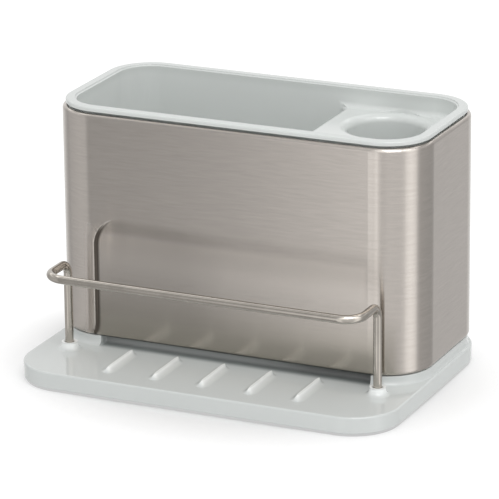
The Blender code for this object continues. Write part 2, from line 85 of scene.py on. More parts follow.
@dataclass(frozen=True)
class Extent:
    """A box along the axes."""

    left: float
    right: float
    front: float
    back: float
    bottom: float
    top: float

    @classmethod
    def of(cls, node: str) -> "Extent":
        """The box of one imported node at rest."""
        low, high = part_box(node)
        return cls(low.x, high.x, low.y, high.y, low.z, high.z)

    def inset(self, by: float) -> "Extent":
        """The same box drawn in by one distance on its four sides, with its heights kept."""
        return Extent(self.left + by, self.right - by, self.front + by, self.back - by, self.bottom, self.top)

    def between(self, bottom: float, top: float) -> "Extent":
        """The same outline between two other heights."""
        return Extent(self.left, self.right, self.front, self.back, bottom, top)

    @property
    def middle(self) -> Pair:
        """The centre of the outline."""
        return (self.left + self.right) / 2, (self.front + self.back) / 2


def quarter_round(radius: float, steps: int) -> list[Pair]:
    """A hollow quarter circle in a corner.

    Args:
        radius: Its radius.
        steps: How many facets it has.

    Returns:
        (out, up) pairs from the flat to the wall.
    """
    angles = [math.pi / 2 * step / steps for step in range(steps + 1)]
    return [(radius * (1 - math.sin(angle)), radius * (1 - math.cos(angle))) for angle in angles]


def rounded_edge(inset: float, z: float, radius: float, steps: int, up: int = 1) -> list[Pair]:
    """The rounded edge between a wall and a flat.

    Args:
        inset: Where the wall stands.
        z: The flat's height.
        radius: The edge's radius.
        steps: How many facets it has.
        up: 1 where the flat is above the wall, and -1 where it is below.

    Returns:
        (inset, z) pairs from the wall to the flat.
    """
    return [(inset + out, z - up * down) for out, down in reversed(quarter_round(radius, steps))]


def ease(share: float) -> float:
    """A smooth step from 0 to 1."""
    share = min(max(share, 0.0), 1.0)
    return share * share * (3 - 2 * share)


class Workpiece:
    """A mesh on the bench, started as a primitive and shaped with edit-mode operators."""

    def __init__(self, name: str) -> None:
        """Takes over the primitive that was just added, with its place in its mesh.

        Args:
            name: The piece's name.
        """
        self.shape: bpy.types.Object = bpy.context.active_object
        self.shape.name = name
        self.shape.data.name = name
        bpy.ops.object.transform_apply(location=True, rotation=True, scale=True)

    @classmethod
    def block(cls, name: str, extent: Extent, corner: float = 0.0, steps: int = 0) -> "Workpiece":
        """A block that fills an extent.

        Args:
            name: The piece's name.
            extent: The box to fill.
            corner: The radius of its upright edges, where they are all round.
            steps: How many facets such an edge has.

        Returns:
            The block.
        """
        centre = (*extent.middle, (extent.bottom + extent.top) / 2)
        size = (extent.right - extent.left, extent.back - extent.front, extent.top - extent.bottom)
        bpy.ops.mesh.primitive_cube_add(size=1, location=centre, scale=size)
        piece = cls(name)
        if corner:
            piece.round_corners(corner, steps)
        return piece

    @classmethod
    def turned(cls, name: str, profile: Sequence[Pair], centre: Pair, steps: int) -> "Workpiece":
        """A closed solid spun about a vertical axis.

        Args:
            name: The piece's name.
            profile: (radius, z) pairs from the lower end to the upper one, without the points on the axis.
            centre: Where the axis stands.
            steps: How many facets go round.

        Returns:
            The turned solid.
        """
        x, y = centre
        places = [(x, y, profile[0][1]), *((x + radius, y, z) for radius, z in profile), (x, y, profile[-1][1])]
        bpy.ops.mesh.primitive_plane_add(size=HAIR, location=places[0])
        piece = cls(name)
        piece.begin(Kind.VERTICES)
        bpy.ops.mesh.select_all(action="SELECT")
        bpy.ops.mesh.merge(type="CENTER")
        for here, there in zip(places, places[1:]):
            piece.extrude(tuple(b - a for a, b in zip(here, there)))
        bpy.ops.mesh.select_all(action="SELECT")
        bpy.ops.mesh.spin(steps=steps, angle=2 * math.pi, center=(x, y, 0), axis=(0, 0, 1))
        piece.face_outwards()
        return piece

    def take(self) -> None:
        """Selects this piece alone, in object mode."""
        if bpy.context.mode != "OBJECT":
            bpy.ops.object.mode_set(mode="OBJECT")
        bpy.ops.object.select_all(action="DESELECT")
        self.shape.select_set(True)
        bpy.context.view_layer.objects.active = self.shape

    def begin(self, kind: Kind) -> None:
        """Enters edit mode on this piece alone, with nothing selected."""
        self.take()
        bpy.ops.object.mode_set(mode="EDIT")
        bpy.ops.mesh.select_mode(type=kind.value)
        bpy.ops.mesh.select_all(action="DESELECT")

    def end(self) -> None:
        """Leaves edit mode."""
        bpy.ops.object.mode_set(mode="OBJECT")

    def extrude(self, step: Place) -> None:
        """Carries the selection on by one step, with new walls behind it."""
        bpy.ops.mesh.extrude_region_move(TRANSFORM_OT_translate={"value": step})

    def pick_flat(self, z: float) -> None:
        """Enters edit mode and selects the level faces at one height.

        Args:
            z: Their height.
        """
        self.begin(Kind.FACES)
        for face in bmesh.from_edit_mesh(self.shape.data).faces:
            if all(abs(corner.co.z - z) < HAIR for corner in face.verts):
                face.select_set(True)
        bmesh.update_edit_mesh(self.shape.data)

    def climb(self, rows: Sequence[Pair], opened: bool = False) -> None:
        """Carries a level face through (inset, z) rows, each further in than the last or straight over it.

        Args:
            rows: Where the face stands first, and then each place that it goes to.
            opened: Whether the face is taken away at the end.
        """
        self.pick_flat(rows[0][1])
        for (inset, z), (next_inset, next_z) in zip(rows, rows[1:]):
            across, rise = next_inset - inset, (0, 0, next_z - z)
            if across > HAIR / 10:
                bpy.ops.mesh.inset(thickness=across, depth=0.0, use_even_offset=True)
                bpy.ops.transform.translate(value=rise)
            else:
                self.extrude(rise)
        if opened:
            bpy.ops.mesh.delete(type="FACE")
        self.end()

    def round_corners(self, radius: float, steps: int, test: Test = lambda corner: True) -> None:
        """Rounds the upright edges whose corners pass a test.

        Args:
            radius: The radius in plan.
            steps: How many facets a corner has.
            test: Whether one corner belongs.
        """
        self.begin(Kind.EDGES)
        for edge in bmesh.from_edit_mesh(self.shape.data).edges:
            low, high = (corner.co for corner in edge.verts)
            upright = math.hypot(low.x - high.x, low.y - high.y) < HAIR
            if upright and all(test(corner) for corner in edge.verts):
                edge.select_set(True)
        bmesh.update_edit_mesh(self.shape.data)
        bpy.ops.mesh.bevel(offset=radius, segments=steps, profile=0.5, affect="EDGES", clamp_overlap=False)
        self.end()

    def slice(self, places: Sequence[float], normal: Place) -> None:
        """Cuts the mesh along parallel planes, for more points.

        Args:
            places: How far out along the normal each plane stands.
            normal: The planes' direction.
        """
        self.begin(Kind.FACES)
        for place in places:
            bpy.ops.mesh.select_all(action="SELECT")
            bpy.ops.mesh.bisect(plane_co=tuple(place * part for part in normal), plane_no=normal)
        self.end()

    def move_points(self, shift: Callable[[Vector], Vector]) -> None:
        """Moves each vertex to where a function says.

        Args:
            shift: Gives a vertex's new place.
        """
        for vertex in self.shape.data.vertices:
            vertex.co = shift(vertex.co)

    def modify(self, kind: str, **settings: object) -> None:
        """Adds one modifier and applies it.

        Args:
            kind: The modifier's type.
            settings: Its settings.
        """
        modifier = self.shape.modifiers.new("step", kind)
        for name, value in settings.items():
            setattr(modifier, name, value)
        self.take()
        bpy.ops.object.modifier_apply(modifier=modifier.name)

    def combine(self, operation: str, others: Sequence["Workpiece"]) -> None:
        """Joins other pieces on, or cuts them out, and clears them away.

        Args:
            operation: UNION or DIFFERENCE.
            others: The other pieces.
        """
        for other in others:
            self.modify("BOOLEAN", operation=operation, solver="EXACT", object=other.shape)
            bpy.data.objects.remove(other.shape)

    def cut(self, *others: "Workpiece") -> None:
        """Cuts other pieces out of this one."""
        self.combine("DIFFERENCE", others)

    def join(self, *others: "Workpiece") -> None:
        """Joins other pieces to this one."""
        self.combine("UNION", others)

    def face_outwards(self) -> None:
        """Merges doubles and turns every face outwards."""
        self.begin(Kind.VERTICES)
        bpy.ops.mesh.select_all(action="SELECT")
        bpy.ops.mesh.remove_doubles(threshold=HAIR / 10)
        bpy.ops.mesh.normals_make_consistent(inside=False)
        self.end()

    def share_on_points(self, name: str) -> bpy.types.Attribute:
        """Adds a share from 0 to 1 on every point, for a finish to read."""
        return self.shape.data.attributes.new(name, "FLOAT", "POINT")

    def stand_for(
        self, node: str, body: str, slot: str, look: bpy.types.Material, sharp: float = 40.0
    ) -> None:
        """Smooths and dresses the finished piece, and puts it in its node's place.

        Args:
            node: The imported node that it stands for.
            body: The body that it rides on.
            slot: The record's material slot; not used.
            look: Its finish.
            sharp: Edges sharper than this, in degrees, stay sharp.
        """
        self.take()
        bpy.ops.object.shade_smooth_by_angle(angle=math.radians(sharp))
        self.modify("WEIGHTED_NORMAL", keep_sharp=True)
        mesh = self.shape.data
        mesh.materials.clear()
        mesh.materials.append(look)
        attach(self.shape, body)
        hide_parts(node)
        mesh.calc_loop_triangles()
        log.info("%s: %d triangles, for node %s on body %s", self.shape.name, len(mesh.loop_triangles), node, body)


class Wiring:
    """Adds nodes to one node tree, with their inputs set or linked."""

    def __init__(self, tree: bpy.types.NodeTree) -> None:
        """Takes the tree that the nodes go to."""
        self.tree = tree

    def feed(self, node: bpy.types.Node, inputs: dict[str | int, object]) -> None:
        """Sets a node's inputs to values or links them to sockets.

        Args:
            node: The node.
            inputs: What each input gets, by its name or number.
        """
        for name, given in inputs.items():
            if isinstance(given, Socket):
                self.tree.links.new(given, node.inputs[name])
            else:
                node.inputs[name].default_value = given

    def add(self, kind: str, inputs: dict[str | int, object] | None = None, **settings: str) -> bpy.types.Node:
        """Adds one node.

        Args:
            kind: Its type, without the word ShaderNode.
            inputs: What its inputs get.
            settings: Its own settings.

        Returns:
            The node.
        """
        node = self.tree.nodes.new(f"ShaderNode{kind}")
        for name, value in settings.items():
            setattr(node, name, value)
        self.feed(node, inputs or {})
        return node

    def maths(self, operation: str, first: Socket | float, second: Socket | float) -> Socket:
        """Two values put together by one operation."""
        return self.add("Math", {0: first, 1: second}, operation=operation).outputs["Value"]

    def span(self, value: Socket, span: Pair, ends: Pair = (0.0, 1.0), shape: str = "LINEAR") -> Socket:
        """Where a value stands in a span.

        Args:
            value: The value.
            span: Where the span starts and ends.
            ends: What the result is at the start and at the end.
            shape: LINEAR or SMOOTHSTEP.

        Returns:
            The result.
        """
        inputs = {"Value": value, "From Min": span[0], "From Max": span[1], "To Min": ends[0], "To Max": ends[1]}
        return self.add("MapRange", inputs, interpolation_type=shape).outputs["Result"]

    def mix(self, share: Socket, low: object, high: object, data_type: str = "FLOAT") -> Socket:
        """What lies between two values or, as RGBA, two colours."""
        return self.add("Mix", {"Factor": share, "A": low, "B": high}, data_type=data_type).outputs["Result"]


class Brush(Wiring):
    """Adds and links the nodes of one finish."""

    def __init__(self, name: str) -> None:
        """Starts a material whose shader is a Principled one.

        Args:
            name: The finish's name.
        """
        self.look = bpy.data.materials.new(name)
        self.look.use_nodes = True
        super().__init__(self.look.node_tree)
        self.shader = self.tree.nodes["Principled BSDF"]
        self.place = self.add("TexCoord").outputs["Object"]

    def noise(self, scale: float, detail: float, stretch: Place = (1.0, 1.0, 1.0)) -> Socket:
        """Soft random spots from 0 to 1 on the object's own coordinates.

        Args:
            scale: Spots per metre.
            detail: How many finer layers are added.
            stretch: How many times denser the pattern gets along each axis.

        Returns:
            The spots' strength.
        """
        where = self.place
        if stretch != (1.0, 1.0, 1.0):
            where = self.add("Mapping", {"Vector": where, "Scale": stretch}).outputs["Vector"]
        return self.add("TexNoise", {"Vector": where, "Scale": scale, "Detail": detail}).outputs["Fac"]

    def spread(self, pattern: Socket, ends: Pair) -> Socket:
        """Spreads a pattern's middle range over a range of values."""
        return self.span(pattern, PATTERN, ends)

    def skin(self, pattern: Socket, dark: Colour, light: Colour) -> Socket:
        """A colour between two, by a pattern."""
        return self.mix(self.spread(pattern, (0.0, 1.0)), (*dark, 1.0), (*light, 1.0), "RGBA")

    def over(self, under: Socket, colour: Colour, share: Socket) -> Socket:
        """Lays one more colour over a skin, as far as a share says."""
        return self.mix(share, under, (*colour, 1.0), "RGBA")

    def within(self, reach: Reach) -> Socket:
        """How far a place lies within a stretch of the object.

        Args:
            reach: Per step the axis, where it starts and is full, and the share before it starts.

        Returns:
            The steps' shares, multiplied.
        """
        parts = self.add("SeparateXYZ", {"Vector": self.place}).outputs
        share = 1.0
        for axis, span, low in reach:
            share = self.maths("MULTIPLY", share, self.span(parts[axis], span, (low, 1.0), "SMOOTHSTEP"))
        return share

    def painted(self, name: str) -> Socket:
        """Reads a share painted on the shape's points."""
        return self.add("Attribute", attribute_name=name).outputs["Fac"]

    def bump(self, pattern: Socket, strength: float, depth: float) -> Socket:
        """Raises and lowers the surface by a pattern.

        Args:
            pattern: The pattern.
            strength: How strongly it tells, from 0 to 1.
            depth: How deep it is, in metres.

        Returns:
            The surface's direction, for the shader.
        """
        inputs = {"Height": pattern, "Strength": strength, "Distance": depth}
        return self.add("Bump", inputs).outputs["Normal"]


@dataclass(frozen=True)
class BrushedSteel:
    """Thin stainless sheet, brushed all the way round the body."""

    name: str = "brushed_steel"
    light: Colour = (0.560, 0.518, 0.479)
    dark: Colour = (0.500, 0.463, 0.427)
    # painted shade: a near-black for the dark band on the recess's left slope and along its upper edge
    painted_shade: Colour = (0.092, 0.079, 0.067)
    # painted shade: the lower front darker, for the shaded tray that it reflects; the same reach also makes it
    # smoother
    low_painted_shade: Colour = (0.350, 0.323, 0.283)
    low_painted_shade_reach: Reach = (
        ("Z", (0.0535, 0.0190), 0.0), ("X", (-0.077, -0.073), 0.0), ("X", (0.110, 0.076), 0.45),
        ("Y", (-0.018, -0.022), 0.0),
    )
    # painted light: the front lighter in a band behind the rail
    painted_light_band: Colour = (0.606, 0.561, 0.518)
    painted_light_band_reach: Reach = (
        ("Z", (0.0730, 0.0690), 0.0), ("Z", (0.0460, 0.0600), 0.0), ("X", (-0.0770, -0.0730), 0.0),
        ("X", (0.0770, 0.0730), 0.0), ("Y", (-0.0180, -0.0220), 0.0),
    )
    # painted light: the scuffed strip beside the recess's left slope is painted paler; it is also rougher
    scuffed_and_painted_light: Colour = (0.84, 0.778, 0.72)
    roughness: Pair = (0.205, 0.225)
    cloudiness: Pair = (-0.005, 0.008)
    scuffed_roughness: float = 0.70
    low_front_roughness: float = 0.115
    stretch: float = 1.0
    stretch_turn: float = 0.25
    line_grain: Place = (95.0, 95.0, 1700.0)
    band_grain: Place = (25.0, 25.0, 900.0)
    cloud_grain: float = 22.0
    line_strength: float = 0.02
    line_depth: float = 0.00001

    def mix(self) -> bpy.types.Material:
        """Builds the finish: long fine lines in colour, gloss and height, and a highlight drawn out across them.

        Painted light makes the front lighter in a band behind the rail, and painted shade, for the shaded tray that
        it reflects, makes it darker but smoother towards its lower edge. Painted shade darkens the recess's left
        slope and upper edge, and painted light makes the scuffed, rougher strip beside that slope paler.

        Returns:
            The finish.
        """
        brush = Brush(self.name)
        lines, bands = brush.noise(1.0, RICH, self.line_grain), brush.noise(1.0, SOFT, self.band_grain)
        clouds = brush.noise(self.cloud_grain, SOFT)
        low_painted_shade, scuffed_and_painted_light = brush.within(self.low_painted_shade_reach), brush.painted("scuffed_and_painted_light")
        skin = brush.skin(lines, self.dark, self.light)
        # painted light behind the rail, painted shade low on the front, and painted light on the scuffed strip
        skin = brush.over(skin, self.painted_light_band, brush.within(self.painted_light_band_reach))
        skin = brush.over(skin, self.low_painted_shade, low_painted_shade)
        skin = brush.over(skin, self.scuffed_and_painted_light, scuffed_and_painted_light)
        rough = brush.maths("ADD", brush.spread(bands, self.roughness), brush.spread(clouds, self.cloudiness))
        rough = brush.mix(low_painted_shade, rough, self.low_front_roughness)
        brush.feed(brush.shader, {
            "Metallic": 1.0,
            "Anisotropic": self.stretch,
            "Anisotropic Rotation": self.stretch_turn,
            "Tangent": brush.add("Tangent", direction_type="RADIAL", axis="Z").outputs["Tangent"],
            # painted shade on the recess's left slope and along its upper edge
            "Base Color": brush.over(skin, self.painted_shade, brush.painted("painted_shade_share")),
            "Roughness": brush.mix(scuffed_and_painted_light, rough, self.scuffed_roughness),
            "Normal": brush.bump(lines, self.line_strength, self.line_depth),
        })
        return brush.look


@dataclass(frozen=True, kw_only=True)
class Finish:
    """A finish whose colour, gloss and height vary a little over the surface.

    Each grain gives the spots per metre, and how many finer layers they have.
    """

    name: str
    light: Colour
    dark: Colour
    roughness: Pair
    colour_grain: Pair
    gloss_grain: Pair
    skin_grain: Pair
    skin_strength: float
    skin_depth: float
    metallic: float = 0.0

    def colour(self, brush: Brush) -> Socket:
        """The surface's colour, cloudy between the dark and the light one."""
        return brush.skin(brush.noise(*self.colour_grain), self.dark, self.light)

    def glow(self, brush: Brush) -> Socket | float:
        """How strongly the surface glows as painted light: here not at all."""
        return 0.0

    def mix(self) -> bpy.types.Material:
        """Builds the finish.

        Returns:
            The finish.
        """
        brush = Brush(self.name)
        brush.feed(brush.shader, {
            "Metallic": self.metallic,
            "Base Color": self.colour(brush),
            "Roughness": brush.spread(brush.noise(*self.gloss_grain), self.roughness),
            "Normal": brush.bump(brush.noise(*self.skin_grain), self.skin_strength, self.skin_depth),
            "Emission Strength": self.glow(brush),
        })
        return brush.look


@dataclass(frozen=True, kw_only=True)
class MouldedPlastic(Finish):
    """Pale moulded plastic: flow marks, cloudy gloss and a fine grained skin, with painted light, shade and
    highlights.
    """

    # a stretch in another colour: painted shade in the tray's slot, painted light below the liner's rim
    painted_light_and_shade: Colour
    painted_light_and_shade_reach: Reach
    # painted light: a glow in one stretch, though the plastic is no lamp
    lit: float = 0.0
    lit_reach: Reach = ()
    # painted highlight: pale on the ribs' and bosses' ridges
    painted_highlight: Colour = (0.90, 0.92, 0.91)
    colour_grain: Pair = (14.0, RICH)
    gloss_grain: Pair = (65.0, RICH)
    skin_grain: Pair = (3200.0, SOFT)
    skin_depth: float = 0.00002

    def colour(self, brush: Brush) -> Socket:
        """The surface's colour, with its stretch of painted light and shade, and painted highlights where the points
        say.
        """
        colour = brush.over(super().colour(brush), self.painted_light_and_shade, brush.within(self.painted_light_and_shade_reach))
        return brush.over(colour, self.painted_highlight, brush.painted("painted_highlight"))

    def glow(self, brush: Brush) -> Socket | float:
        """Painted light: how strongly the surface glows, within the stretch that is lit."""
        return brush.maths("MULTIPLY", brush.within(self.lit_reach), self.lit) if self.lit_reach else 0.0


SATIN_WIRE = Finish(
    name="steel_wire", light=(0.50, 0.465, 0.42), dark=(0.42, 0.39, 0.35), roughness=(0.10, 0.15), metallic=1.0,
    colour_grain=(90.0, SOFT), gloss_grain=(90.0, SOFT), skin_grain=(2600.0, SOFT), skin_strength=0.03,
    skin_depth=0.00003,
)
FOOT_RUBBER = Finish(
    name="foot_rubber", light=(0.20, 0.205, 0.205), dark=(0.15, 0.155, 0.155), roughness=(0.68, 0.8),
    colour_grain=(300.0, RICH), gloss_grain=(300.0, RICH), skin_grain=(2200.0, RICH), skin_strength=0.3,
    skin_depth=0.0001,
)
# the tray has painted shade along the slot under the sleeve, and a weak painted glow deeper in it
TRAY_PLASTIC = MouldedPlastic(
    name="tray_plastic", light=(0.64, 0.665, 0.655), dark=(0.625, 0.65, 0.64), roughness=(0.06, 0.09),
    skin_strength=0.03, painted_light_and_shade=(0.27, 0.29, 0.285), lit=0.068,
    painted_light_and_shade_reach=(
        ("Y", (-0.0272, -0.0215), 0.0), ("Y", (-0.0150, -0.0205), 0.0), ("Z", (0.0125, 0.0108), 0.0),
        ("X", (-0.0735, -0.0715), 0.0), ("X", (0.0780, 0.0760), 0.0),
    ),
    lit_reach=(
        ("Y", (-0.0225, -0.0160), 0.0), ("Y", (0.0600, 0.0550), 0.0), ("Z", (0.0095, 0.0100), 0.0),
        ("Z", (0.0125, 0.0108), 0.0), ("X", (-0.0760, -0.0750), 0.0), ("X", (0.0800, 0.0790), 0.0),
        ("X", (0.0800, -0.0200), 0.5),
    ),
)
# the liner is painted lighter below its rim, as painted light in its shaded compartments
LINER_PLASTIC = MouldedPlastic(
    name="liner_plastic", light=(0.655, 0.68, 0.665), dark=(0.64, 0.665, 0.65), roughness=(0.14, 0.18),
    skin_strength=0.04, painted_light_and_shade=(0.70, 0.725, 0.71), painted_light_and_shade_reach=(("Z", (0.1345, 0.1305), 0.0),),
)


@dataclass
class SteelSleeve:
    """The brushed steel sleeve: rolled in at both edges, with a shallow recess pressed into its lower front."""

    corner: float = 0.0250
    sheet: float = 0.0008
    top_roll: float = 0.0020
    bottom_roll: float = 0.0018
    recess_depth: float = 0.0008
    recess_lip: float = 0.0003
    recess_draw: float = 0.80
    recess_return: Pair = (-0.072, -0.012)
    recess_height: float = 0.0643
    recess_margin: float = 0.0005
    recess_side_blend: float = 0.0014
    recess_top_blend: float = 0.0092
    recess_corner: float = 0.0160
    recess_crown: float = 0.10
    recess_foot_flare: float = 0.0032
    recess_foot_height: float = 0.0075
    # where painted shade lies on the recess's left slope and upper edge, how strong it is and how it fades
    painted_shade_width: float = 0.0034
    painted_shade_above: float = 0.13
    painted_shade_fade: float = 0.45
    # the scuffed strip beside the left slope, which also gets painted light
    scuffed_and_painted_light_beside: Pair = (-0.0022, 0.0028)
    painted_shade_slices: tuple[float, ...] = (0.6, 0.8, 1.0)
    middle_slices: tuple[float, ...] = (-0.2, -0.4, -0.6, 0.0)
    upper_slices: tuple[float, ...] = (0.1, 0.3, 0.6)
    corner_steps: int = 32
    roll_steps: int = 6
    blend_steps: int = 10
    sharp: float = 50.0
    finish: BrushedSteel = BrushedSteel()

    def build(self) -> None:
        """Builds the sleeve from a block: open, rolled and pressed, and then as thick as the sheet."""
        box = Extent.of("steel_sleeve")
        low, high = box.bottom + self.bottom_roll, box.top - self.top_roll
        sleeve = Workpiece.block("brushed_sleeve", box.between(low, high), self.corner, self.corner_steps)
        sleeve.climb(rounded_edge(0.0, box.top, self.top_roll, self.roll_steps), opened=True)
        sleeve.climb(rounded_edge(0.0, box.bottom, self.bottom_roll, self.roll_steps, -1), opened=True)
        half = box.right - self.corner - self.recess_margin
        recess_top = box.bottom + self.recess_height
        places = [-self.recess_lip, *self.edge_places(self.recess_side_blend)]
        places += [self.painted_shade_width * share for share in self.painted_shade_slices]
        across = [half - place for place in places]
        middle = [half * share for share in self.middle_slices]
        sleeve.slice([-x for x in across] + middle + across[::-1], (1.0, 0.0, 0.0))
        rows = [recess_top - place for place in self.edge_places(self.recess_top_blend)]
        rows += [low + self.recess_foot_height * step / self.blend_steps for step in range(self.blend_steps)]
        rows += [recess_top + self.recess_top_blend * share for share in self.upper_slices]
        sleeve.slice(rows, (0.0, 0.0, 1.0))
        self.press(sleeve, box, half, recess_top)
        sleeve.modify("SOLIDIFY", thickness=self.sheet, offset=-1.0, use_even_offset=True)
        sleeve.stand_for("steel_sleeve", "body", "brushed_steel", self.finish.mix(), self.sharp)

    def edge_places(self, blend: float) -> list[float]:
        """Distances in from the recess's outline, close together over its sloped edge.

        Args:
            blend: The sloped edge's width.

        Returns:
            The distances, from the outline inwards.
        """
        steps = self.blend_steps
        places = [blend * step / steps for step in range(steps + 1)]
        return places + [blend + self.recess_corner * step / steps for step in range(1, steps + 1)]

    def pressed_share(self, share: float) -> float:
        """How deep the sheet is pressed across its sloped side: a short crown, then a long hollow foot.

        Args:
            share: How far the place is over the slope, from 0 to 1.

        Returns:
            The depth, from 0 to 1.
        """
        share = min(max(share, 0.0), 1.0)
        if share < self.recess_crown:
            return (1 - (1 - self.recess_crown) ** 2) * (share / self.recess_crown) ** 2
        return 1 - (1 - share) ** 2

    def press(self, sleeve: Workpiece, box: Extent, half: float, recess_top: float) -> None:
        """Presses the recess into the left of the front, and paints shade and light on and beside its slopes.

        Painted shade darkens the foot of the left slope, and lightly the upper slope, more so on the left.
        Painted light makes the scuffed skin beside the left slope paler. The recess runs out into the flat front
        before its middle.

        Args:
            sleeve: The sleeve, sliced where the recess needs points.
            box: The sleeve's extent.
            half: Half of the recess's width.
            recess_top: The height of its upper edge.
        """
        # shares of painted shade, and of scuffing with painted light, on the points
        painted_shade_share, scuffed_and_painted_light = sleeve.share_on_points("painted_shade_share"), sleeve.share_on_points("scuffed_and_painted_light")
        for vertex in sleeve.shape.data.vertices:
            place = vertex.co
            below = recess_top - place.z
            if place.y > box.front + 2 * self.bottom_roll or below <= 0:
                continue
            inside = half - abs(place.x)
            over_top = below / self.recess_top_blend
            # painted shade on the upper slope, and below on the left slope's foot
            painted_shade = 0.0
            if over_top < 1 and inside > -HAIR:
                painted_shade = self.painted_shade_above * (1 - self.painted_shade_fade * (0.5 + 0.5 * place.x / half))
                painted_shade *= (4 * over_top * (1 - over_top)) ** 2
            if place.x < 0:
                low = min(max(1 - (place.z - box.bottom) / self.recess_foot_height, 0.0), 1.0)
                across = inside + self.recess_foot_flare * (1 - math.sqrt(1 - low**2))
                beside = ease(2 * (1 - across / self.painted_shade_width)) * ease(across / self.recess_lip)
                painted_shade = max(painted_shade, beside * ease(over_top))
                # painted light, with scuffing, on the strip beside the left slope
                middle, reach = self.scuffed_and_painted_light_beside
                scuff_and_painted_light = ease(1 - abs(across - middle) / reach) * ease(below / self.recess_corner)
                scuffed_and_painted_light.data[vertex.index].value = scuff_and_painted_light
            painted_shade_share.data[vertex.index].value = painted_shade
            if inside < -self.recess_lip - HAIR or place.x >= 0:
                continue
            short = max(self.recess_corner - below, 0.0)
            drawn_in = self.recess_corner - math.sqrt(self.recess_corner**2 - short**2)
            place.x *= 1 - drawn_in / half * min((1 - inside / half) / self.recess_draw, 1.0)
            nearest, farthest = self.recess_return
            depth = self.pressed_share(inside / self.recess_side_blend) * ease(over_top)
            depth *= ease((farthest - place.x) / (farthest - nearest))
            place.y = max(place.y, box.front + self.recess_depth * depth)


